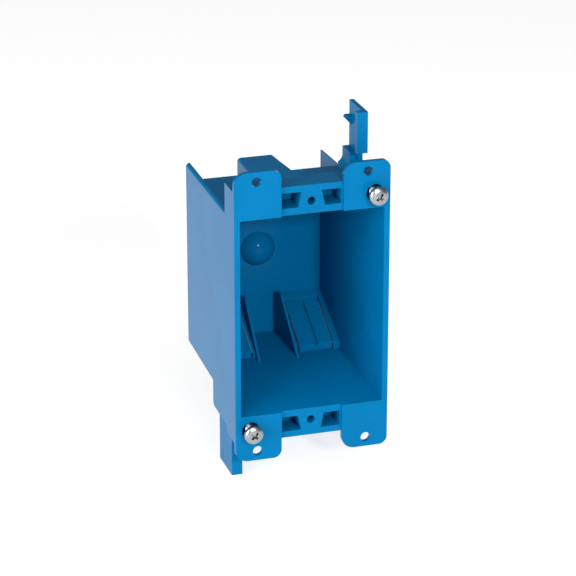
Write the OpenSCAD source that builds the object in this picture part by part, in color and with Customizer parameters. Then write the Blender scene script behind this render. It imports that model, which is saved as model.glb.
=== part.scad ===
// Single-gang box for old work: a moulded body with plaster ears, two swing
// clamps and the screws that carry them. Millimetres. X is across the front,
// Y runs from the front into the wall, Z is up. Y = 0 is the wall face, where
// the backs of the ears rest, and X = Z = 0 is the middle of the opening.

/* [Body] */
// Width of the body across the front
body_w = 57.15; // [54:0.05:64]
// Width of the body across the back
body_back_w = 53.8; // [50:0.1:54]
// Height of the body behind the collar
body_h = 73.8; // [72:0.1:76]
// Height of the body at the back
body_back_h = 72; // [70:0.1:72]
// Length behind the collar of the gussets that guard the clamps
gusset_run = 19.5; // [17:0.1:22]
// Rise of the gussets over the end walls
gusset_rise = 8.4; // [7:0.1:9.5]
// Thickness of the gussets
gusset_t = 1.2; // [1:0.1:1.3]
// Depth from the front of the ears to the back
body_d = 69.85; // [66:0.05:80]
// Radius on the long outer edges of the body
body_r = 1.5; // [1:0.1:3]
// Thickness of the side walls
side_wall = 2.3; // [1.8:0.1:2.5]
// Thickness of the top and bottom walls
end_wall = 1.9; // [1.6:0.1:2.4]
// Thickness of the back wall
back_wall = 2; // [1.6:0.1:3]

/* [Collar] */
// Depth of the collar from the front of the ears
collar_d = 12.7; // [11:0.1:15]
// Radius on the back edges of the collar
collar_r = 1; // [0.5:0.1:2]
// Width of the rims beside the opening
rim_w = 2.125; // [1.8:0.025:3]
// Height of the opening in the front
mouth_h = 74.2; // [70:0.1:75]
// How far the bands sit back from the front of the ears
band_set_back = 1.2; // [0.8:0.1:1.6]

/* [Ears] */
// Width of each ear
ear_w = 17.2; // [15:0.1:17.4]
// Reach of the ears past the collar
ear_reach = 6.9; // [6:0.1:9]
// Thickness of the ears
ear_t = 1.8; // [1.7:0.1:2.4]
// Radius on the left corner of each ear, seen from the front
ear_left_r = 4.7; // [2:0.1:5]
// Radius on the right corner of each ear
ear_right_r = 3.1; // [2:0.1:5]
// Diameter of the hole in each ear
ear_hole_d = 3.6; // [3:0.1:4.2]
// Distance of an ear hole from the side of the body
ear_hole_side = 8.225; // [7:0.025:9]
// Distance of an ear hole from the end of the ear
ear_hole_end = 3.6; // [3.2:0.1:4]

/* [Bands] */
// Distance between the two device screw holes
device_pitch = 83.34; // [83:0.01:84]
// Diameter of a device screw hole
device_hole_d = 3; // [2.6:0.1:3.4]
// Width of the boss round a device screw hole, at its outer side
device_boss_w = 7.4; // [6.4:0.1:9]
// Height of the pockets beside the boss
pocket_h = 5.6; // [4.5:0.1:6]
// Width of a pocket at its widest
pocket_w = 7.2; // [6:0.1:7.4]
// Depth of the pockets
pocket_d = 9.5; // [5:0.1:10]
// How far the pockets stand above the middle of the screw holes
pocket_rise = 0.8; // [0:0.1:1]
// Lean of the boss side of a pocket
pocket_lean = 1.2; // [0.5:0.1:2]

/* [Cable entries] */
// Half width of the block between two entries, at the back
block_back = 7.1; // [6:0.1:7.5]
// Half width of that block at the front of the entries
block_front = 7.7; // [7.4:0.1:8.4]
// Distance from the back of the body to the front edge of an entry
entry_run = 19.9; // [17:0.1:22]
// Thickness of the cheek beside an entry
cheek_t = 0.9; // [0.8:0.1:1.4]
// Thickness of the wing outside an entry
wing_t = 1.5; // [1.2:0.1:1.8]
// Height over the middle at which the flap leaves the back wall
flap_root_z = 19.8; // [19:0.1:22]
// Height over the middle of the lowest point of a cheek
cheek_z = 16.6; // [15:0.1:17]
// Length of the level foot of a cheek
cheek_foot = 5; // [3:0.1:8]
// Length of the bevel between that foot and the back wall
cheek_bevel = 3; // [2:0.1:4]
// Distance from the back wall at which the flap's slope meets the end wall
flap_run = 27; // [24:0.1:28]
// Thickness of the flap
flap_t = 1.7; // [1.2:0.1:2]
// Distance of the inner slit from the middle of the box
slit_x = 8.9; // [8.7:0.1:9.4]
// Width of the slits on either side of the flap
slit_gap = 0.9; // [0.5:0.05:1.2]
// Length of the flap's root, behind the slits
root_run = 3; // [2.5:0.1:6]
// Width of the step between the root and the pads
root_step = 1.3; // [0.6:0.1:2]
// Width of the ledge along the side wall
ledge_w = 1.9; // [1.6:0.1:2.4]
// Gap between the free end of the flap and the wall
flap_gap = 0.4; // [0.3:0.05:0.8]
// Height of the raised pads, root and ledge
pad_t = 1; // [0.5:0.1:1.2]
// Distance of the groove between the pads from the middle of the box
groove_x = 15.8; // [13:0.1:17]
// Width of the groove between the pads
groove_w = 1.6; // [1:0.1:2.5]

/* [Dome] */
// Diameter of the dome on the back wall
dome_d = 13.6; // [9:0.1:14]
// Height of the dome over the back wall
dome_h = 4.4; // [3:0.1:5]

/* [Clamp screws] */
// Distance of a clamp screw from the outside of the gusset beside it
screw_inset = 4.90285; // [4.7:0.00005:5.2]
// Height of a clamp screw over the end wall of the body
screw_rise = 5.7; // [5.6:0.1:6]
// Diameter of the screw over its thread
screw_d = 3.5; // [3:0.1:3.8]
// Length of the screw under its head
screw_l = 38.1; // [36:0.1:42]
// Diameter of the screw head
head_d = 7; // [6.8:0.1:7.4]
// Height of the screw head
head_h = 2.3; // [1.8:0.1:2.8]
// How far the loose screw stands out, from the ears to the head
head_out = 3.2; // [0.5:0.1:4]
// Width of the slots in the head
slot_w = 1; // [0.7:0.1:1.3]
// Depth of the slots in the head
slot_d = 1.1; // [0.6:0.1:1.4]
// Diameter of the recess round the screw
recess_d = 6.5; // [6:0.1:6.7]
// Wall between the recess and the top of the collar
recess_wall = 1.75; // [1:0.05:2]
// Depth of the recess from the front of the ears
recess_depth = 9.8; // [8:0.1:10.5]
// Running clearance of the screw in its bores, on the radius
screw_clear = 0.08; // [0.02:0.01:0.1]

/* [Clamps] */
// Length of the arm from the screw axis to its tip
arm_reach = 24.6; // [22:0.1:27]
// Distance from the screw axis to the outer face of the arm
arm_out = 2.6; // [2.4:0.1:3.2]
// Depth of the arm, front to back
arm_d = 16; // [14:0.1:19]
// Thickness of the web of the arm
web_t = 1.6; // [1.2:0.1:2]
// Width of the gripping face at the front of the arm
grip_w = 4; // [3.2:0.1:4.2]
// Thickness behind the gripping face
grip_t = 2.4; // [1.6:0.1:3]
// Distance of the gripping face from the wall face, as set in the photograph
grip_y = 14.2; // [13.5:0.1:16]
// Distance from the screw axis to the bottom of the gripping face
grip_start = 9.3; // [9:0.1:11]
// Set-back of the neck behind the gripping face
neck_set_back = 5.5; // [4:0.1:6]
// Distance from the screw axis to the top of the thick root of the arm
root_reach = 7.5; // [6.5:0.1:9]
// Thickness of the root of the arm, across the front
root_t = 4.1; // [3.6:0.1:4.4]
// Depth of the root, front to back
root_d = 8; // [6:0.1:9]
// Radius of the flare from the root to the boss
flare_r = 3.1; // [2.5:0.1:3.4]
// Height over the screw axis at which the flare leaves the root
flare_rise = 4.4; // [4:0.1:5]
// Distance from the screw axis to the lower edge of the web
web_foot = 2; // [1.5:0.1:2.2]
// Outer radius of the threaded boss
boss_r = 3.2; // [3:0.1:3.3]
// Length of the threaded boss
boss_l = 13.5; // [10:0.1:15]
// Distance from the screw axis to the spur near the tip
spur_at = 17.6; // [15:0.1:19]
// Size of the spur
spur = 2.4; // [1.6:0.1:3]

/* [Hidden] */
$fn = 64;

blue = [0.05, 0.47, 0.74];
zinc = [0.78, 0.79, 0.8];
// Overlap that makes a cut pass right through its face
over = 1;
// Lift that lets a blend cross its faces in place of touching them
blend_lift = 0.02;
// How far a cheek runs on in front of the slope's end, and its foot's rise to the back
cheek_lead = 0.6;
cheek_rise = 0.4;
// Length over which the strips beside a flap thicken towards the end wall
foot_run = 3;
// Bevel on the free corner of a gusset
gusset_bevel = 1;
// Radius in the corner between the boss of a clamp and its arm
neck_r = 2.4;
// Length of the bevel at the end of a screw
point = 1.2;

// Sizes that follow from the ones above
mouth_w = body_w - 2 * rim_w;
screw_z = body_h / 2 + screw_rise;
collar_h = 2 * screw_z + recess_d + 2 * recess_wall;
ears_h = collar_h + 2 * ear_reach;
ear_hole_x = body_w - 2 * ear_hole_side;
ear_hole_z = ears_h - 2 * ear_hole_end;

front_y = -ear_t;
band_y = front_y + band_set_back;
collar_y = front_y + collar_d;
back_y = front_y + body_d;
inner_back_y = back_y - back_wall;
crest_y = back_y - entry_run;
flap_end_y = inner_back_y - flap_run;
// Front end of a cheek, and the end of the cuts behind the back
cheek_y = flap_end_y - cheek_lead;
past_y = back_y + over;

// Half width of the body over its outside, at depth y
function half_w(y) =
    body_w / 2 + (body_back_w - body_w) / 2 * (y - front_y) / body_d;
// Half height of the body over its outside, at depth y
function half_h(y) =
    body_h / 2 + (body_back_h - body_h) / 2 * (y - collar_y) / (back_y - collar_y);
// Half width and half height of the cavity, at depth y
function cavity_w(y) = half_w(y) - side_wall;
function cavity_h(y) = half_h(y) - end_wall;
// Half width of the block between two cable entries, at depth y
function block_w(y) =
    block_back + (block_front - block_back) * (back_y - y) / entry_run;

// Free corner of a gusset, and its inner face
gusset_y = collar_y + gusset_run;
gusset_z = body_h / 2 + gusset_rise;
gusset_x = half_w(gusset_y) - gusset_t;
// Place of a clamp screw beside the gusset, which leans with the side wall
screw_x = half_w(gusset_y) - screw_inset;

// Rise of a flap towards the front, per millimetre of depth
flap_rise = (cavity_h(flap_end_y) - flap_root_z) / flap_run;
// Height of the inner face of a flap over the middle, at depth y
function flap_z(y) = flap_root_z + flap_rise * (inner_back_y - y);
// Where a flap ends, clear of the end wall it leans towards
flap_tip_y = flap_end_y + (flap_t + flap_gap) / flap_rise;

// Stands a plan drawn in X and Y up along Z, over the range z0 to z1
module plan(z0, z1) {
    translate([0, 0, z0]) linear_extrude(z1 - z0) children();
}

// Lays a profile drawn in Y and Z along X, over the range x0 to x1
module profile(x0, x1) {
    translate([x0, 0, 0])
        rotate([90, 0, 90]) linear_extrude(x1 - x0) children();
}

// Carries a face drawn in X and Z into the depth, over the range y0 to y1
module face(y0, y1) {
    translate([0, y1, 0])
        rotate([90, 0, 0]) linear_extrude(y1 - y0) children();
}

module mirrored_z() {
    children();
    mirror([0, 0, 1]) children();
}

module mirrored_x() {
    children();
    mirror([1, 0, 0]) children();
}

// The second clamp, screw and recess are the first ones turned half round
module both_corners() {
    children();
    rotate([0, 180, 0]) children();
}

module bore(x, z, d, y0, y1) {
    translate([x, y1, z]) rotate([90, 0, 0]) cylinder(h = y1 - y0, d = d);
}

// What a blend of radius r takes off a corner that lies at the origin
module corner_scrap(r) {
    difference() {
        translate([-r, -r]) square(r + over);
        translate([-r, -r]) circle(r + blend_lift);
    }
}

// Side view of the collar and of the body behind it
module side_outline() {
    difference() {
        polygon([
            [band_y, -collar_h / 2],
            [band_y, collar_h / 2],
            [collar_y, collar_h / 2],
            [collar_y, half_h(collar_y)],
            [back_y, half_h(back_y)],
            [back_y, -half_h(back_y)],
            [collar_y, -half_h(collar_y)],
            [collar_y, -collar_h / 2]
        ]);
        for (side = [0, 1])
            mirror([0, side])
                translate([collar_y, collar_h / 2]) corner_scrap(collar_r);
    }
}

// Outline of one upper ear, with its own radius on each corner
module ear_outline() {
    h = (ears_h - mouth_h) / 2 + ear_t;
    inner_w = ear_w - ear_left_r - ear_right_r;
    translate([0, mouth_h / 2 - ear_t]) {
        square([ear_left_r, h - ear_left_r]);
        translate([ear_w - ear_right_r, 0]) square([ear_right_r, h - ear_right_r]);
        translate([ear_left_r, 0]) square([inner_w, h]);
        translate([ear_left_r, h - ear_left_r]) circle(ear_left_r);
        translate([ear_w - ear_right_r, h - ear_right_r]) circle(ear_right_r);
    }
}

module ears() {
    mirrored_z()
        for (x = [-body_w / 2, body_w / 2 - ear_w])
            translate([x, 0, 0]) face(front_y, 0) ear_outline();
}

// The rims beside the mouth come forward flush with the ears
module rim() {
    translate([mouth_w / 2 - over, front_y, -mouth_h / 2])
        cube([side_wall + 2 * over, ear_t + over, mouth_h]);
}

// Runs the side wall on behind the collar, beside the upper clamp
module gusset() {
    root_z = body_h / 2 - 2 * body_r;
    profile(gusset_x, body_w)
        polygon([
            [collar_y - over, root_z],
            [gusset_y, root_z],
            [gusset_y, gusset_z - gusset_bevel],
            [gusset_y - gusset_bevel, gusset_z],
            [collar_y - over, gusset_z]
        ]);
}

// Takes the long outer edge of the body off to a blend
module long_edge_scrap() {
    dx = half_w(back_y) - half_w(collar_y);
    dy = back_y - collar_y;
    dz = half_h(back_y) - half_h(collar_y);
    run = dy + 4 * over;
    intersection() {
        translate([half_w(back_y), back_y, half_h(back_y)])
            rotate([atan(dz / dy), 0, atan(-dx / dy)])
                translate([0, 2 * over, 0])
                    rotate([90, 0, 0]) linear_extrude(run) corner_scrap(body_r);
        translate([0, collar_y, 0]) cube([body_w, body_d, body_h]);
    }
}

// Outside of the body, collar and ears, between the drafted side faces
module outside() {
    intersection() {
        plan(-ears_h, ears_h)
            polygon([
                [-half_w(front_y), front_y],
                [half_w(front_y), front_y],
                [half_w(back_y), back_y],
                [-half_w(back_y), back_y]
            ]);
        union() {
            difference() {
                profile(-body_w, body_w) side_outline();
                mirrored_z() mirrored_x() long_edge_scrap();
            }
            mirrored_x() rim();
            ears();
            both_corners() gusset();
        }
    }
}

// The mouth narrows from the opening to the cavity behind it
module cavity() {
    intersection() {
        plan(-mouth_h, mouth_h)
            polygon([
                [-mouth_w / 2, front_y - over],
                [mouth_w / 2, front_y - over],
                [mouth_w / 2, front_y],
                [cavity_w(collar_y), collar_y],
                [cavity_w(inner_back_y), inner_back_y],
                [-cavity_w(inner_back_y), inner_back_y],
                [-cavity_w(collar_y), collar_y],
                [-mouth_w / 2, front_y]
            ]);
        profile(-mouth_w, mouth_w)
            polygon([
                [front_y - over, -mouth_h / 2],
                [front_y - over, mouth_h / 2],
                [band_y, mouth_h / 2],
                [collar_y, cavity_h(collar_y)],
                [inner_back_y, cavity_h(inner_back_y)],
                [inner_back_y, -cavity_h(inner_back_y)],
                [collar_y, -cavity_h(collar_y)],
                [band_y, -mouth_h / 2]
            ]);
    }
}

// Pocket in the band, with a side that leans round the screw boss
module pocket() {
    z0 = device_pitch / 2 - pocket_h / 2 + pocket_rise;
    x0 = device_boss_w / 2;
    x1 = x0 + pocket_w;
    face(band_y - over, band_y + pocket_d)
        polygon([
            [x0, z0 + pocket_h],
            [x1, z0 + pocket_h],
            [x1, z0],
            [x0 + pocket_lean, z0]
        ]);
}

module screw_recess() {
    bore(screw_x, screw_z, recess_d, front_y - over, front_y + recess_depth);
    bore(screw_x, screw_z, screw_d + 2 * screw_clear, front_y, collar_y + over);
}

// The space that a cable comes in by: open at the back and at the outside
module entry_void() {
    intersection() {
        plan(0, body_h)
            polygon([
                [block_w(cheek_y), cheek_y],
                [block_w(past_y), past_y],
                [half_w(past_y) - wing_t, past_y],
                [half_w(cheek_y) - wing_t, cheek_y]
            ]);
        profile(0, body_w)
            polygon([
                [crest_y, cavity_h(crest_y) - over],
                [inner_back_y - over, flap_root_z + flap_t],
                [past_y, flap_root_z + flap_t],
                [past_y, body_h],
                [crest_y, body_h]
            ]);
    }
}

// Cheek that closes an entry off from the middle of the box
module cheek() {
    bevel_z = cheek_z + cheek_bevel * 0.7;
    sunk_y = inner_back_y + back_wall / 2;
    intersection() {
        plan(0, body_h)
            polygon([
                [block_w(cheek_y) - cheek_t, cheek_y],
                [block_w(cheek_y), cheek_y],
                [block_w(past_y), past_y],
                [block_w(past_y) - cheek_t, past_y]
            ]);
        profile(0, body_w)
            polygon([
                [cheek_y, cavity_h(cheek_y)],
                [inner_back_y - cheek_bevel - cheek_foot, cheek_z],
                [inner_back_y - cheek_bevel, cheek_z + cheek_rise],
                [inner_back_y, bevel_z],
                [sunk_y, bevel_z],
                [sunk_y, half_h(sunk_y) - end_wall / 2],
                [cheek_y, half_h(cheek_y) - end_wall / 2]
            ]);
    }
}

// Side view of a sloping strip, raised to the middle by its lift
module slope(y0, y1, thick, lift) {
    polygon([
        [y0, flap_z(y0) - lift],
        [y1, flap_z(y1) - lift],
        [y1, flap_z(y1) + thick],
        [y0, flap_z(y0) + thick]
    ]);
}

// The same from the free end on, with a foot that joins the end wall
module footed_slope(y1, lift) {
    foot_y = flap_tip_y + foot_run;
    polygon([
        [flap_tip_y, flap_z(flap_tip_y) - lift],
        [y1, flap_z(y1) - lift],
        [y1, flap_z(y1) + flap_t],
        [foot_y, flap_z(foot_y) + flap_t],
        [flap_tip_y, cavity_h(flap_tip_y) + end_wall / 2]
    ]);
}

// Root, ledges, tongue and raised pads of one cable flap, before their sides are cut
module flap_strips() {
    slit_y = inner_back_y - root_run;
    x0 = block_back - cheek_t;
    x1 = half_w(inner_back_y) - wing_t / 2;
    ledge_x = cavity_w(back_y) - ledge_w;
    tongue_x0 = slit_x + slit_gap;
    tongue_x1 = ledge_x - slit_gap;
    pads = [
        [tongue_x0, groove_x - groove_w / 2],
        [groove_x + groove_w / 2, tongue_x1]
    ];
    profile(x0, x1) slope(slit_y, inner_back_y + back_wall / 2, flap_t, pad_t);
    profile(x0, slit_x) footed_slope(slit_y + over, 0);
    profile(ledge_x, x1) footed_slope(slit_y + over, pad_t);
    profile(tongue_x0, tongue_x1) slope(flap_tip_y, slit_y + over, flap_t, 0);
    for (pad = pads)
        profile(pad[0], pad[1])
            slope(flap_tip_y, slit_y - root_step, flap_t / 2, pad_t);
}

// The strips, let half way into the slanting cheek beside them
module flap() {
    y0 = flap_end_y - over;
    y1 = back_y - over / 2;
    intersection() {
        flap_strips();
        plan(0, body_h)
            polygon([
                [block_w(y0) - cheek_t / 2, y0],
                [body_w / 2, y0],
                [body_w / 2, y1],
                [block_w(y1) - cheek_t / 2, y1]
            ]);
    }
}

module cable_flaps() {
    mirrored_z()
        mirrored_x() {
            cheek();
            flap();
        }
}

// Radius of the ball that the dome is a cap of
dome_r = (dome_d * dome_d / 4 + dome_h * dome_h) / (2 * dome_h);

// Turns a half outline about the dome's axis, round the middle of its ball
module dome_turn() {
    translate([0, inner_back_y + dome_r - dome_h, 0])
        rotate([90, 0, 0]) rotate_extrude() children();
}

// Outside of the dome, sunk into the back wall
module dome() {
    dome_turn()
        intersection() {
            circle(dome_r);
            translate([0, dome_r - dome_h - back_wall / 2]) square(2 * dome_r);
        }
}

// The hollow behind the dome keeps its wall even
module dome_hollow() {
    r = dome_r - back_wall;
    dome_turn() {
        intersection() {
            circle(r);
            square(r);
        }
        translate([0, -dome_h - back_wall]) square([r, dome_h + back_wall]);
    }
}

module box_body() {
    color(blue) {
        difference() {
            union() {
                difference() {
                    outside();
                    cavity();
                    mirrored_z() mirrored_x() entry_void();
                }
                cable_flaps();
                dome();
            }
            dome_hollow();
            mirrored_z() {
                mirrored_x() {
                    pocket();
                    bore(ear_hole_x / 2, ear_hole_z / 2, ear_hole_d, front_y - over, over);
                }
                bore(0, device_pitch / 2, device_hole_d, front_y - over, collar_y + over);
            }
            both_corners() screw_recess();
        }
    }
}

// Upper clamp, swung out and up as the photograph shows it
module clamp() {
    x1 = screw_x + arm_out;
    web_x = x1 - web_t;
    tip_z = screw_z + arm_reach;
    grip_z = screw_z + grip_start;
    neck_y = grip_y + neck_set_back;
    arm_back = grip_y + arm_d;
    foot_z = screw_z - web_foot;
    spur_z = screw_z + spur_at;
    root_x = x1 - root_t;
    root_z = screw_z + root_reach;
    flare_z = screw_z + flare_rise;
    difference() {
        union() {
            // Web of the arm
            profile(web_x, x1)
                difference() {
                    polygon([
                        [grip_y, grip_z],
                        [grip_y, tip_z],
                        [arm_back, tip_z],
                        [arm_back, foot_z],
                        [neck_y - neck_r, foot_z],
                        [neck_y - neck_r, grip_z - neck_r],
                        [neck_y, grip_z]
                    ]);
                    translate([neck_y - neck_r, grip_z - neck_r]) circle(neck_r);
                    translate([neck_y - neck_r - over, foot_z - over])
                        square([neck_r + over, grip_z - neck_r - foot_z + over]);
                }
            // Gripping face across the front of the arm
            translate([x1 - grip_w, grip_y, grip_z])
                cube([grip_w, grip_t, arm_reach - grip_start]);
            // Threaded boss round the screw
            bore(screw_x, screw_z, 2 * boss_r, arm_back - boss_l, arm_back);
            // Thick root at the back of the web, which flares out to the boss
            face(arm_back - root_d, arm_back)
                difference() {
                    polygon([
                        [screw_x - boss_r, screw_z],
                        [x1, screw_z],
                        [x1, root_z],
                        [root_x, root_z],
                        [root_x, flare_z],
                        [screw_x - boss_r, flare_z]
                    ]);
                    translate([root_x - flare_r, flare_z]) circle(flare_r);
                }
            // Neck between the root and the front of the boss
            face(neck_y, arm_back)
                polygon([
                    [screw_x, screw_z],
                    [x1, screw_z],
                    [x1, screw_z + boss_r],
                    [screw_x, screw_z + boss_r]
                ]);
            // Spur near the tip, at the back of the web
            face(arm_back - 2 * web_t, arm_back)
                polygon([
                    [web_x + web_t / 2, spur_z - spur * 0.7],
                    [web_x, spur_z - spur * 0.7],
                    [web_x - spur, spur_z + spur * 0.35],
                    [web_x - spur * 0.8, spur_z + spur * 0.7],
                    [web_x + web_t / 2, spur_z + spur * 0.7]
                ]);
        }
        bore(screw_x, screw_z, screw_d + 2 * screw_clear, arm_back - boss_l - over, arm_back + over);
    }
}

module upper_clamp() {
    color(blue) clamp();
}

module lower_clamp() {
    color(blue) rotate([0, 180, 0]) clamp();
}

// Pan-head screw along Y, its head in front of the recess
module clamp_screw() {
    head_y = front_y - head_out;
    dome_r = (head_d * head_d / 4 + head_h * head_h) / (2 * head_h);
    difference() {
        union() {
            intersection() {
                translate([screw_x, head_y - head_h + dome_r, screw_z]) sphere(dome_r);
                bore(screw_x, screw_z, head_d, head_y - head_h - over, head_y);
            }
            bore(screw_x, screw_z, screw_d, head_y - head_h / 2, head_y + screw_l - point);
            translate([screw_x, head_y + screw_l - point, screw_z])
                rotate([-90, 0, 0]) cylinder(h = point, d1 = screw_d, d2 = screw_d - point);
        }
        for (turn = [45, 135])
            translate([screw_x, head_y - head_h + slot_d / 2, screw_z])
                rotate([0, turn, 0])
                    cube([head_d * 0.62, slot_d * 1.6, slot_w], center = true);
    }
}

module upper_clamp_screw() {
    color(zinc) clamp_screw();
}

module lower_clamp_screw() {
    color(zinc) rotate([0, 180, 0]) clamp_screw();
}

box_body();
upper_clamp();
lower_clamp();
upper_clamp_screw();
lower_clamp_screw();
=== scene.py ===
# %% [markdown]
# # A wall box for old work, dressed in Blender
# The real object is a moulded box that goes into a hole cut in a finished
# wall. Two swing clamps, each carried by a long screw, pinch the wall panel
# against four thin ears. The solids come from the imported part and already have
# the right size, so this lesson adds what the solids leave out: softened
# moulded edges, cut threads, driven screw heads, and the plastic and the zinc.

# %% Open the frame
import math

import bmesh
import bpy
from mathutils import Matrix, Vector


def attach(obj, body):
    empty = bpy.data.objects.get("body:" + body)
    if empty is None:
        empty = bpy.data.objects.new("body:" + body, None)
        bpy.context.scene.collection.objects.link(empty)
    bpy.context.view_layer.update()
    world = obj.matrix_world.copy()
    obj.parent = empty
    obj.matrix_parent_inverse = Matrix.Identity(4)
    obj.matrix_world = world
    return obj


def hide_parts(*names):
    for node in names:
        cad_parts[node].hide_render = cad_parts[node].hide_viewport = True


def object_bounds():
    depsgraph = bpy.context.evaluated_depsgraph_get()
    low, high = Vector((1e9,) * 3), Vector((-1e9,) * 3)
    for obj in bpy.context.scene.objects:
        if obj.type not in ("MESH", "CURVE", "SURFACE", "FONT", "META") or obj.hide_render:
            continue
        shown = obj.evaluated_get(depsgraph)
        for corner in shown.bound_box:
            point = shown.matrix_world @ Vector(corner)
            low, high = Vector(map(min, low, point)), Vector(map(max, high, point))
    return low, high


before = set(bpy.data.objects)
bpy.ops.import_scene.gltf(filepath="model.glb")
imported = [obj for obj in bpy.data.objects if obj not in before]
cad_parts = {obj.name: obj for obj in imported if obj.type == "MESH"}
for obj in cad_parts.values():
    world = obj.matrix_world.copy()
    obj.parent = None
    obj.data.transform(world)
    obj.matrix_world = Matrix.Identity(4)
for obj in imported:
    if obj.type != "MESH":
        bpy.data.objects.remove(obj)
cad_low, cad_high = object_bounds()
print("nodes:", sorted(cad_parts))
print("box of the solids:", [round(v, 4) for v in (*cad_low, *cad_high)])

# %% [markdown]
# ## Small helpers
# Every new piece is a mesh that rides on one body of the part and stands in
# for one of its solids. The same few lines could be written out for each, but
# helpers keep the steps below short and every piece made in the same way.

# %% Helpers that make a piece
MM = 0.001


def object_from(bm, name):
    """Turns a bmesh into an object of the scene."""
    mesh = bpy.data.meshes.new(name)
    bm.to_mesh(mesh)
    bm.free()
    made = bpy.data.objects.new(name, mesh)
    bpy.context.scene.collection.objects.link(made)
    return made


def piece_from(bm, name, body, node):
    """Makes a finished piece out of a bmesh and hangs it on its body."""
    bmesh.ops.recalc_face_normals(bm, faces=bm.faces)
    piece = object_from(bm, name)
    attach(piece, body)
    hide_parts(node)
    print(name, "has", len(piece.data.polygons), "faces")
    return piece


def smooth_by_angle(piece, degrees):
    """Shades soft across gentle edges and crisp across sharp ones."""
    mesh = piece.data
    for face in mesh.polygons:
        face.use_smooth = True
    mesh.set_sharp_from_angle(angle=math.radians(degrees))


print("lengths are in metres, and one millimetre is", MM)

# %% [markdown]
# ## The moulded parts
# A moulding has no knife edges: the steel of the mould is broken by a few
# tenths of a millimetre, and that is what catches the light along every rim.
# A Bevel modifier could do it, but a solid comes as loose triangles, and the
# modifier would find no edges shared by two faces. So a copy of each solid is
# merged, its flat triangles are joined into whole faces, and every edge that
# turns a corner is bevelled.

# %% Finding and rounding edges
EDGE_SOFTNESS = 0.22 * MM
EDGE_STEPS = 2
CORNER_ANGLE = math.radians(22)


def corner_edges(bm):
    """Every edge where the surface turns a real corner."""
    return [
        edge
        for edge in bm.edges
        if len(edge.link_faces) == 2 and edge.calc_face_angle(0) > CORNER_ANGLE
    ]


def round_edges(bm, edges, radius, steps):
    """Rounds the given edges of a bmesh."""
    bmesh.ops.bevel(
        bm,
        geom=edges,
        affect="EDGES",
        offset=radius,
        offset_type="OFFSET",
        segments=steps,
        profile=0.5,
        material=-1,
        clamp_overlap=True,
    )


print("every rim is softened by", round(EDGE_SOFTNESS / MM, 2), "mm")

# %% [markdown]
# ## The middle block and the slits
# Between the two cable entries at the top, and at the bottom too, stands a
# middle block with rounder corners than the rest. Thin dark slits part each
# flap's tongue from what is beside it. Both could be modelled anew, but the
# merged solid already holds their edges and points, so it is enough to pick
# them out by their places: the block's edges get a larger rounding, and the
# tongue's sides move.

# %% Rounder corners and thinner slits
BLOCK_ROUNDING = 1.3 * MM
BLOCK_STEPS = 6
BLOCK_SIDE_X = (6.9 * MM, 8 * MM)
BLOCK_FACE_Z = (35.5 * MM, 37.5 * MM)
BLOCK_EDGE_LEAST = 5 * MM
ENTRY_INNER_X = 8.9 * MM
ENTRY_OUTER_X = 22.7 * MM
SLIT_IN_SOLID = 0.9 * MM
SLIT_WIDTH = 0.5 * MM
SAME_PLACE = 0.01 * MM


def is_block_corner(edge):
    """True for the long upper and lower edges of the middle block."""
    ends = [vert.co for vert in edge.verts]
    beside = all(BLOCK_SIDE_X[0] < abs(co.x) < BLOCK_SIDE_X[1] for co in ends)
    outside = all(BLOCK_FACE_Z[0] < abs(co.z) < BLOCK_FACE_Z[1] for co in ends)
    return beside and outside and abs(ends[0].y - ends[1].y) > BLOCK_EDGE_LEAST


def thin_slits(bm):
    """Brings the sides of each flap's tongue closer to the edges beside it."""
    moved = 0
    for vert in bm.verts:
        from_middle = abs(vert.co.x)
        for edge, toward in ((ENTRY_INNER_X, 1), (ENTRY_OUTER_X, -1)):
            if abs(from_middle - (edge + toward * SLIT_IN_SOLID)) < SAME_PLACE:
                vert.co.x = math.copysign(1, vert.co.x) * (edge + toward * SLIT_WIDTH)
                moved += 1
    print("points moved to thin the slits:", moved)


print("slits go from", round(SLIT_IN_SOLID / MM, 2), "to", round(SLIT_WIDTH / MM, 2), "mm")

# %% [markdown]
# ## Softened copies in place of the solids
# The box and its two clamps are three mouldings, so each becomes one piece.
# Soft shading alone would bend the light across the wide flat walls. A
# Weighted Normal modifier keeps those flat and leaves the turn to the small
# round edges, which is cheaper than more faces.

# %% The three mouldings
BODY_OF = {
    "box_body": "box",
    "upper_clamp": "upper_arm",
    "lower_clamp": "lower_arm",
}
SLOT_OF = {
    "box_body": "box_plastic",
    "upper_clamp": "clamp_plastic",
    "lower_clamp": "clamp_plastic",
}
WELD = 0.002 * MM
FLAT_ANGLE = math.radians(0.5)
MOULDING_CRISP_DEGREES = 50
LARGE_FACES_LEAD = 100


def merged_solid(node):
    """A copy of one solid with whole flat faces in place of triangles."""
    bm = bmesh.new()
    bm.from_mesh(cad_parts[node].data)
    bmesh.ops.remove_doubles(bm, verts=bm.verts, dist=WELD)
    bmesh.ops.dissolve_limit(bm, angle_limit=FLAT_ANGLE, verts=bm.verts, edges=bm.edges)
    bmesh.ops.dissolve_degenerate(bm, dist=WELD, edges=bm.edges)
    return bm


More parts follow.
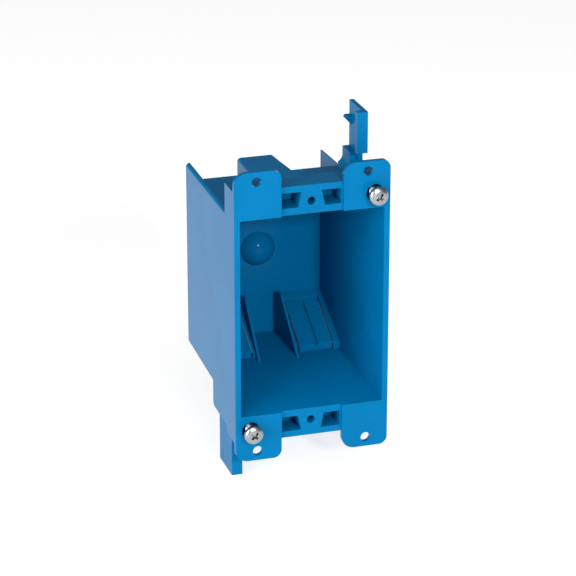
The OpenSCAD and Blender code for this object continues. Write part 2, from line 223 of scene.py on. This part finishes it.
def softened_moulding(node):
    """A copy of one solid with small round edges, in place of the solid."""
    bm = merged_solid(node)
    if node == "box_body":
        thin_slits(bm)
    corners = corner_edges(bm)
    rounded = [edge for edge in corners if is_block_corner(edge)]
    print(node, "corner edges:", len(corners), "rounder ones:", len(rounded))
    if rounded:
        round_edges(bm, rounded, BLOCK_ROUNDING, BLOCK_STEPS)
        corners = corner_edges(bm)
    round_edges(bm, corners, EDGE_SOFTNESS, EDGE_STEPS)
    bmesh.ops.triangulate(bm, faces=bm.faces, quad_method="BEAUTY", ngon_method="BEAUTY")
    piece = piece_from(bm, node + "_moulding", BODY_OF[node], node)
    smooth_by_angle(piece, MOULDING_CRISP_DEGREES)
    normals = piece.modifiers.new("flat_faces_stay_flat", "WEIGHTED_NORMAL")
    normals.mode = "FACE_AREA"
    normals.weight = LARGE_FACES_LEAD
    normals.keep_sharp = True
    return piece


mouldings = {node: softened_moulding(node) for node in BODY_OF}

# %% [markdown]
# ## Small helpers for a finish
# Plastic and metal are never quite even: their shade and their gloss wander a
# little. A picture could hold that, but a pattern on Object coordinates needs
# no picture, has no seams and stays in place when the piece moves. The helpers
# lead such a pattern into the shade and into the roughness.

# %% Helpers that make a finish
def new_material(name):
    """A new material and its shader."""
    material = bpy.data.materials.new(name)
    material.use_nodes = True
    return material, material.node_tree.nodes["Principled BSDF"]


def object_pattern(tree, kind, scale):
    """A pattern that is fixed to the object."""
    pattern = tree.nodes.new(kind)
    pattern.inputs["Scale"].default_value = scale
    coordinates = tree.nodes.new("ShaderNodeTexCoord")
    tree.links.new(coordinates.outputs["Object"], pattern.inputs["Vector"])
    return pattern


def noise_value(tree, scale, detail):
    """Soft patches of random strength."""
    noise = object_pattern(tree, "ShaderNodeTexNoise", scale)
    noise.inputs["Detail"].default_value = detail
    return noise.outputs["Fac"]


def uneven_shade(tree, shader, value, shades, positions=(0, 1)):
    """Lets a pattern lead the base colour from one shade to the other."""
    tint = tree.nodes.new("ShaderNodeValToRGB")
    for stop, position, shade in zip(tint.color_ramp.elements, positions, shades):
        stop.position = position
        stop.color = shade
    tree.links.new(value, tint.inputs["Fac"])
    tree.links.new(tint.outputs["Color"], shader.inputs["Base Color"])


def uneven_gloss(tree, shader, value, roughness):
    """Lets a pattern lead the roughness from its lower to its upper limit."""
    gloss = tree.nodes.new("ShaderNodeMapRange")
    gloss.inputs["To Min"].default_value = roughness[0]
    gloss.inputs["To Max"].default_value = roughness[1]
    tree.links.new(value, gloss.inputs["Value"])
    tree.links.new(gloss.outputs["Result"], shader.inputs["Roughness"])


print("materials so far:", len(bpy.data.materials))

# %% [markdown]
# ## The plastic
# The box is injection moulded in azure plastic that is coloured all through.
# Its shine is weak from the front and stronger at a low angle, where the left
# wall mirrors the pale floor. The steel of the mould leaves a very fine grain
# and faint flow marks. One even colour would look like paint, so three noises
# of growing scale give the flow marks, the uneven gloss and the grain.

# %% Azure moulded plastic
PLASTIC_SHADES = ((0.0, 0.128, 0.305, 1), (0.0, 0.148, 0.352, 1))
SHADE_POSITIONS = (0.3, 0.7)
FLOW_SCALE, FLOW_DETAIL = 38, 3
SHEEN_SCALE, SHEEN_DETAIL = 120, 4
GRAIN_SCALE, GRAIN_DETAIL = 900, 2
GRAIN_STRENGTH = 0.1
GRAIN_DEPTH = 0.01 * MM
PLASTIC_IOR = 1.45
PLASTIC_SPECULAR = 0.055
PLASTIC_ROUGHNESS = {"box_plastic": (0.1, 0.2), "clamp_plastic": (0.22, 0.36)}


def azure_plastic(slot_name):
    """Solid coloured plastic with flow marks, grain and an uneven gloss."""
    material, shader = new_material("azure_" + slot_name)
    tree = material.node_tree
    flow = noise_value(tree, FLOW_SCALE, FLOW_DETAIL)
    uneven_shade(tree, shader, flow, PLASTIC_SHADES, SHADE_POSITIONS)
    sheen = noise_value(tree, SHEEN_SCALE, SHEEN_DETAIL)
    uneven_gloss(tree, shader, sheen, PLASTIC_ROUGHNESS[slot_name])
    grain = noise_value(tree, GRAIN_SCALE, GRAIN_DETAIL)
    bump = tree.nodes.new("ShaderNodeBump")
    bump.inputs["Strength"].default_value = GRAIN_STRENGTH
    bump.inputs["Distance"].default_value = GRAIN_DEPTH
    tree.links.new(grain, bump.inputs["Height"])
    tree.links.new(bump.outputs["Normal"], shader.inputs["Normal"])
    shader.inputs["IOR"].default_value = PLASTIC_IOR
    shader.inputs["Specular IOR Level"].default_value = PLASTIC_SPECULAR
    return material


plastics = {slot_name: azure_plastic(slot_name) for slot_name in PLASTIC_ROUGHNESS}
for node, slot_name in SLOT_OF.items():
    mouldings[node].data.materials.append(plastics[slot_name])
    print(node, "wears", plastics[slot_name].name)

# %% [markdown]
# ## The thread of a clamp screw
# Each clamp rides on a plain zinc-plated machine screw. Its thread could be
# painted on as bump, but its outline shows against the side of the box, so it
# is cut for real: the outline of one pitch is spun round the axis while it
# climbs, and each turn meets the one before it.

# %% Thread
SCREW_LENGTH = 38.1 * MM
HEAD_SEAT_Y = -5.0 * MM
THREAD_RADIUS = 1.75 * MM
THREAD_ROOT = 1.38 * MM
THREAD_PITCH = 0.794 * MM
CREST_FLAT = THREAD_PITCH * 0.14
ROOT_FLAT = THREAD_PITCH * 0.2
PLAIN_POINT = 1.0 * MM
START_IN_HEAD = 0.4 * MM
TURNS = int((SCREW_LENGTH - PLAIN_POINT) / THREAD_PITCH) - 1
TURN_STEPS = 32
THREAD_WELD = 0.003 * MM
AXIS = Vector((0, 1, 0))


def drawn_outline(bm, outline):
    """Draws an outline of radius and depth beside the screw's axis."""
    verts = [bm.verts.new((radius, along, 0)) for radius, along in outline]
    return verts + [bm.edges.new(pair) for pair in zip(verts, verts[1:])]


def thread_shell(bm):
    """Spins one pitch of thread up the screw, then closes both ends."""
    start = HEAD_SEAT_Y - START_IN_HEAD
    pitch_outline = [
        (THREAD_ROOT, 0),
        (THREAD_ROOT, ROOT_FLAT),
        (THREAD_RADIUS, (THREAD_PITCH + ROOT_FLAT - CREST_FLAT) / 2),
        (THREAD_RADIUS, (THREAD_PITCH + ROOT_FLAT + CREST_FLAT) / 2),
        (THREAD_ROOT, THREAD_PITCH),
    ]
    bmesh.ops.spin(
        bm,
        geom=drawn_outline(bm, [(radius, start + along) for radius, along in pitch_outline]),
        cent=(0, 0, 0),
        axis=AXIS,
        dvec=AXIS * (THREAD_PITCH / TURN_STEPS),
        angle=math.tau * TURNS,
        steps=TURN_STEPS * TURNS,
        use_merge=False,
    )
    bmesh.ops.remove_doubles(bm, verts=bm.verts, dist=THREAD_WELD)
    bmesh.ops.holes_fill(bm, edges=[e for e in bm.edges if e.is_boundary], sides=0)
    return start + (TURNS + 1) * THREAD_PITCH


print("turns of thread:", TURNS, "and a last one where it runs out")

# %% [markdown]
# ## The head of a clamp screw
# The pan head has a flat seat, a short upright rim and a low crown, with a
# cross for the driver sunk into it. The round part is turned from its outline,
# as on a lathe. The cross could be pressed in by moving points, but its edges
# would smear over the crown, so a cutter shaped like the driver is taken away
# with a Boolean modifier.

# %% Pan head
HEAD_HEIGHT = 2.2 * MM
HEAD_RADIUS = 3.5 * MM
RIM_HEIGHT = 0.75 * MM
SEAT_BEVEL = 0.15 * MM
CROWN_STEPS = 12
CROWN_FULLNESS = 0.8
CROWN_Y = HEAD_SEAT_Y - HEAD_HEIGHT
LATHE_STEPS = 64
LATHE_WELD = 0.001 * MM


def spun_outline(bm, outline):
    """Turns an outline of radius and depth about the screw's axis."""
    bmesh.ops.spin(
        bm,
        geom=drawn_outline(bm, outline),
        cent=(0, 0, 0),
        axis=AXIS,
        angle=math.tau,
        steps=LATHE_STEPS,
        use_merge=True,
    )
    bmesh.ops.remove_doubles(bm, verts=bm.verts, dist=LATHE_WELD)


def head_outline():
    """Pan head: flat seat, short upright rim, and a low crown."""
    rim = HEAD_SEAT_Y - RIM_HEIGHT
    points = [
        (0, HEAD_SEAT_Y),
        (HEAD_RADIUS - SEAT_BEVEL, HEAD_SEAT_Y),
        (HEAD_RADIUS, HEAD_SEAT_Y - SEAT_BEVEL),
        (HEAD_RADIUS, rim),
    ]
    for step in range(1, CROWN_STEPS):
        turn = math.radians(90 * step / CROWN_STEPS)
        radius = HEAD_RADIUS * math.cos(turn) ** CROWN_FULLNESS
        points.append((radius, rim + (CROWN_Y - rim) * math.sin(turn)))
    points.append((0, CROWN_Y))
    return points


print("points in the outline of the head:", len(head_outline()))

# %% Cross for the driver
DRIVE_DEPTH = 1.6 * MM
BLADE_REACH = 2.3 * MM
BLADE_HALF_WIDTH = 0.62 * MM
BLADE_TAPER = (0.42, 1, 0.55)
BLADE_TURNS = (45, 135)
CONE_RADIUS = 1.25 * MM
CONE_TIP_RADIUS = 0.3 * MM
CONE_STEPS = 24


def cross_cutter():
    """The driver's shape, sunk into the crown: two blades and a cone."""
    bm = bmesh.new()
    for turn in BLADE_TURNS:
        blade = bmesh.ops.create_cube(bm, size=1)["verts"]
        blade_size = (2 * BLADE_REACH, 2 * DRIVE_DEPTH, 2 * BLADE_HALF_WIDTH)
        bmesh.ops.scale(bm, vec=blade_size, verts=blade)
        deep_end = [vert for vert in blade if vert.co.y > 0]
        bmesh.ops.scale(bm, vec=BLADE_TAPER, verts=deep_end)
        bmesh.ops.rotate(
            bm,
            verts=blade,
            cent=(0, 0, 0),
            matrix=Matrix.Rotation(math.radians(turn), 3, "Y"),
        )
    bmesh.ops.create_cone(
        bm,
        cap_ends=True,
        segments=CONE_STEPS,
        radius1=CONE_RADIUS,
        radius2=CONE_TIP_RADIUS,
        depth=2 * DRIVE_DEPTH,
        matrix=Matrix.Rotation(math.radians(-90), 4, "X"),
    )
    print("driver cutter has", len(bm.verts), "points")
    bmesh.ops.translate(bm, verts=bm.verts, vec=(0, CROWN_Y, 0))
    return object_from(bm, "driver_cutter")


print("the cross is sunk", round(DRIVE_DEPTH / MM, 2), "mm into the crown")

# %% Head with its cross
def driven_head():
    """The pan head with the cross sunk into it, as a mesh."""
    bm = bmesh.new()
    spun_outline(bm, head_outline())
    bmesh.ops.recalc_face_normals(bm, faces=bm.faces)
    head = object_from(bm, "driven_head")
    cutter = cross_cutter()
    cut = head.modifiers.new("drive", "BOOLEAN")
    cut.operation = "DIFFERENCE"
    cut.solver = "EXACT"
    cut.use_self = True
    cut.object = cutter
    bpy.context.view_layer.update()
    view = bpy.context.evaluated_depsgraph_get()
    result = bpy.data.meshes.new_from_object(head.evaluated_get(view))
    for spare in (head, cutter):
        bpy.data.objects.remove(spare)
    print("head after the cut:", len(result.polygons), "faces")
    return result


head_mesh = driven_head()

# %% [markdown]
# ## The two whole screws
# A screw is one piece of steel, so head, thread and point go into one mesh.
# The lower screw could be mirrored from the upper one, but that would turn its
# thread left-handed, so it is turned half round about the middle of the box,
# as the lower clamp is.

# %% Upper and lower screw
SCREW_X, SCREW_Z = 22.9 * MM, 42.6 * MM
CORE_RADIUS = THREAD_ROOT * 1.02
TIP_RADIUS = THREAD_ROOT * 0.7
TIP_BEVEL = 0.5 * MM
CORE_OVERLAP = 2 * THREAD_PITCH
SCREW_CRISP_DEGREES = 32
SCREW_TURNS = {"upper": 0, "lower": math.pi}


def clamp_screw(side, turn):
    """One whole screw at its place, turned about the middle of the box."""
    bm = bmesh.new()
    core_start = thread_shell(bm) - CORE_OVERLAP
    tip = HEAD_SEAT_Y + SCREW_LENGTH
    core_outline = [
        (0, core_start),
        (CORE_RADIUS, core_start),
        (CORE_RADIUS, tip - TIP_BEVEL),
        (TIP_RADIUS, tip),
        (0, tip),
    ]
    spun_outline(bm, core_outline)
    bm.from_mesh(head_mesh)
    bmesh.ops.translate(bm, verts=bm.verts, vec=(SCREW_X, 0, SCREW_Z))
    bmesh.ops.rotate(
        bm,
        verts=bm.verts,
        cent=(0, 0, 0),
        matrix=Matrix.Rotation(turn, 3, "Y"),
    )
    # The piece has the name of the body that it rides on.
    body = side + "_screw"
    screw = piece_from(bm, body, body, side + "_clamp_screw")
    smooth_by_angle(screw, SCREW_CRISP_DEGREES)
    return screw


screws = [clamp_screw(side, turn) for side, turn in SCREW_TURNS.items()]

# %% [markdown]
# ## The zinc
# Bright zinc is a thin metal skin with a crystal bloom: it shines, but no two
# patches shine alike. One even metal would look like chrome, so a pattern of
# cells shifts its shade a little, and a fine noise its roughness.

# %% Bright zinc plating
ZINC_SHADES = ((0.3, 0.33, 0.35, 1), (0.44, 0.46, 0.47, 1))
ZINC_ROUGHNESS = (0.22, 0.36)
BLOOM_SCALE = 1400
HAZE_SCALE, HAZE_DETAIL = 900, 3


def zinc_plating(name):
    """Bright plated steel with a faint crystal bloom."""
    material, shader = new_material(name)
    tree = material.node_tree
    bloom = object_pattern(tree, "ShaderNodeTexVoronoi", BLOOM_SCALE)
    uneven_shade(tree, shader, bloom.outputs["Distance"], ZINC_SHADES)
    haze = noise_value(tree, HAZE_SCALE, HAZE_DETAIL)
    uneven_gloss(tree, shader, haze, ZINC_ROUGHNESS)
    shader.inputs["Metallic"].default_value = 1.0
    return material


zinc = zinc_plating("bright_zinc")
for screw in screws:
    screw.data.materials.append(zinc)
    print(screw.name, "wears", zinc.name)

# %% [markdown]
# ## The floor
# In use the box is held in a wall. Here it seems to stand on the tip of its
# lower clamp, a hair above a plain pale floor. A floor lit by the lamps alone
# would come out grey, so it also glows a little, and the ground behind the box
# stays as white as in the photograph.

# %% Floor
FLOOR_GAP = 0.3 * MM
FLOOR_HALF_SIDE = 6
FLOOR_GREY = (0.5, 0.5, 0.5, 1)
FLOOR_ROUGHNESS = 0.9
FLOOR_GLOW = 0.74
WHITE = (1, 1, 1, 1)


def pale_floor():
    """A wide plain sheet just under the lowest point of the object."""
    bm = bmesh.new()
    bmesh.ops.create_grid(bm, x_segments=1, y_segments=1, size=FLOOR_HALF_SIDE)
    bmesh.ops.translate(bm, verts=bm.verts, vec=(0, 0, cad_low.z - FLOOR_GAP))
    floor = object_from(bm, "pale_floor")
    paper, shader = new_material("pale_paper")
    shader.inputs["Base Color"].default_value = FLOOR_GREY
    shader.inputs["Roughness"].default_value = FLOOR_ROUGHNESS
    shader.inputs["Emission Color"].default_value = WHITE
    shader.inputs["Emission Strength"].default_value = FLOOR_GLOW
    floor.data.materials.append(paper)
    return floor


print(pale_floor().name, "is", 2 * FLOOR_HALF_SIDE, "m wide")

# %% [markdown]
# ## The light
# A single lamp could light the box, but it would leave the inside dark. The
# small key light stands in front and a little above, and leaves the bright
# spot on the dome. A broad light from the left reaches past the mouth onto the
# right inner wall near the front, and leaves the far end of that wall dark. A
# weaker broad light stands higher and lifts the faces that look up.

# %% Lights
LIT_POINT = Vector((0, 0.02, 0))
ROOM_STRENGTH = 0.17


def soft_lamp(name, place, side, power):
    """A square softbox that faces the object."""
    lamp = bpy.data.lights.new(name, "AREA")
    lamp.shape = "SQUARE"
    lamp.size = side
    lamp.energy = power
    holder = bpy.data.objects.new(name, lamp)
    holder.location = place
    aim = LIT_POINT - Vector(place)
    holder.rotation_euler = aim.to_track_quat("-Z", "Y").to_euler()
    bpy.context.scene.collection.objects.link(holder)
    print(name, "stands", round(aim.length, 2), "m away with", power, "W")


soft_lamp("key_light", (0.06, -1.38, 0.57), 0.16, 12.5)
soft_lamp("left_light", (-1.18, -0.69, 0.32), 0.9, 18.5)
soft_lamp("upper_light", (-0.2, -0.95, 1.15), 0.9, 6.5)
room = bpy.data.worlds.new("pale_room")
room.use_nodes = True
room_light = room.node_tree.nodes["Background"]
room_light.inputs["Color"].default_value = WHITE
room_light.inputs["Strength"].default_value = ROOM_STRENGTH
bpy.context.scene.world = room
bpy.context.scene.view_settings.view_transform = "Standard"

# %% [markdown]
# ## The camera
# The photograph looks down on the box from the front left with a long lens.
# The camera could be set by eye, but the place, the yaw, the pitch and the
# focal length were worked out from the known sizes of the box, so that the
# picture can be laid over the photograph.

# %% Camera
CAMERA_PLACE = Vector((-257.8, -803.7, 340.8)) * MM
CAMERA_YAW = math.radians(17.236)
CAMERA_PITCH = math.radians(21.473)
CAMERA_FOCAL_PX = 2570.4
PICTURE_SIDE_PX = 576
SENSOR_MM = 36
NEAREST_SEEN = 10 * MM

camera_data = bpy.data.cameras.new("camera")
camera_data.sensor_width = SENSOR_MM
camera_data.lens = CAMERA_FOCAL_PX * SENSOR_MM / PICTURE_SIDE_PX
camera_data.clip_start = NEAREST_SEEN
camera = bpy.data.objects.new("camera", camera_data)
camera.location = CAMERA_PLACE
look = Vector(
    (
        math.sin(CAMERA_YAW) * math.cos(CAMERA_PITCH),
        math.cos(CAMERA_YAW) * math.cos(CAMERA_PITCH),
        -math.sin(CAMERA_PITCH),
    )
)
camera.rotation_euler = look.to_track_quat("-Z", "Y").to_euler()
bpy.context.scene.collection.objects.link(camera)
bpy.context.scene.camera = camera
print("lens:", round(camera_data.lens, 1), "mm")
